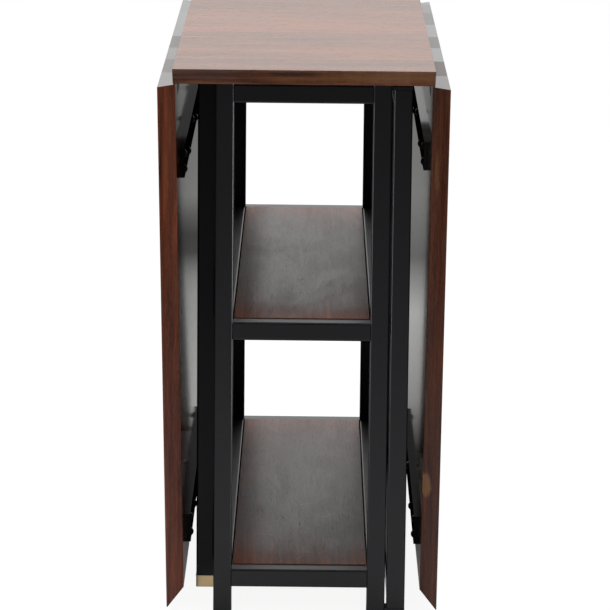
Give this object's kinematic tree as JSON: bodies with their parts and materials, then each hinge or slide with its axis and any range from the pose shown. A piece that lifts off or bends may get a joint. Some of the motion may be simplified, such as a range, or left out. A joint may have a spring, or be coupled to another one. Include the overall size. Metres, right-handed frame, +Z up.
{
  "type": "folding extending table",
  "caption": "Narrow folding table with drop leaves of wood, a black square-tube frame with shelves, and swinging gate legs under the leaves",
  "frame": {"origin": "on the floor under the middle of the folded table", "axes": "+Z up, +Y along the folded table from the end seen in the picture to the far end, +X from the left leaf to the right leaf as seen in the picture"},
  "size_m": [0.3899, 0.9, 0.76],
  "materials": {
    "wood": "satin lacquer over dark red-brown hardwood",
    "black_steel": "satin black powder coat",
    "black_plastic": "moulded black plastic",
    "bare_steel": "zinc-plated steel",
    "brass": "satin brass"
  },
  "bodies": {
    "frame": {"fixed_board": "wood", "upper_shelf": "wood", "lower_shelf": "wood", "front_left_leg": "black_steel", "front_right_leg": "black_steel", "rear_left_leg": "black_steel", "rear_right_leg": "black_steel", "front_top_rail": "black_steel", "rear_top_rail": "black_steel", "left_top_rail": "black_steel", "right_top_rail": "black_steel", "front_upper_rail": "black_steel", "rear_upper_rail": "black_steel", "left_upper_rail": "black_steel", "right_upper_rail": "black_steel", "front_lower_rail": "black_steel", "rear_lower_rail": "black_steel", "left_lower_rail": "black_steel", "right_lower_rail": "black_steel", "shelf_tabs": "black_steel", "shelf_screws": "bare_steel", "board_tabs": "black_steel", "board_screws": "bare_steel", "leg_glides": "black_plastic", "gate_lugs": "black_steel", "gate_pivot_pins": "bare_steel", "left_hinge_board_plates": "black_steel", "right_hinge_board_plates": "black_steel", "left_hinge_pins": "bare_steel", "right_hinge_pins": "bare_steel", "hinge_board_screws": "black_steel"},
    "left_leaf_body": {"left_leaf": "wood", "left_upper_bar": "black_steel", "left_lower_bar": "black_steel", "left_bar_screws": "black_steel", "left_hinge_leaf_plates": "black_steel", "left_hinge_leaf_screws": "black_steel"},
    "right_leaf_body": {"right_leaf": "wood", "right_upper_bar": "black_steel", "right_lower_bar": "black_steel", "right_bar_screws": "black_steel", "right_hinge_leaf_plates": "black_steel", "right_hinge_leaf_screws": "black_steel"},
    "left_gate_body": {"left_gate_post": "black_steel", "left_gate_leg": "black_steel", "left_gate_top_rail": "black_steel", "left_gate_bottom_rail": "black_steel", "left_gate_bushes": "bare_steel", "left_gate_foot": "brass", "left_gate_cap": "black_plastic"},
    "right_gate_body": {"right_gate_post": "black_steel", "right_gate_leg": "black_steel", "right_gate_top_rail": "black_steel", "right_gate_bottom_rail": "black_steel", "right_gate_bushes": "bare_steel", "right_gate_foot": "brass", "right_gate_cap": "black_plastic"}
  },
  "joints": [
    {"name": "left_leaf_hinge", "type": "hinge", "parent": "frame", "child": "left_leaf_body", "pos_m": [-0.1735, 0, 0.7385], "axis": [0, 1, 0], "range_deg": [0, 91.1]},
    {"name": "right_leaf_hinge", "type": "hinge", "parent": "frame", "child": "right_leaf_body", "pos_m": [0.1735, 0, 0.7385], "axis": [0, -1, 0], "range_deg": [0, 90.5]},
    {"name": "left_gate_hinge", "type": "hinge", "parent": "frame", "child": "left_gate_body", "pos_m": [-0.133, 0.4205, 0.3], "axis": [0, 0, -1], "range_deg": [0, 0.25]},
    {"name": "right_gate_hinge", "type": "hinge", "parent": "frame", "child": "right_gate_body", "pos_m": [0.133, -0.4205, 0.3], "axis": [0, 0, -1], "range_deg": [0, 0.8]}
  ]
}
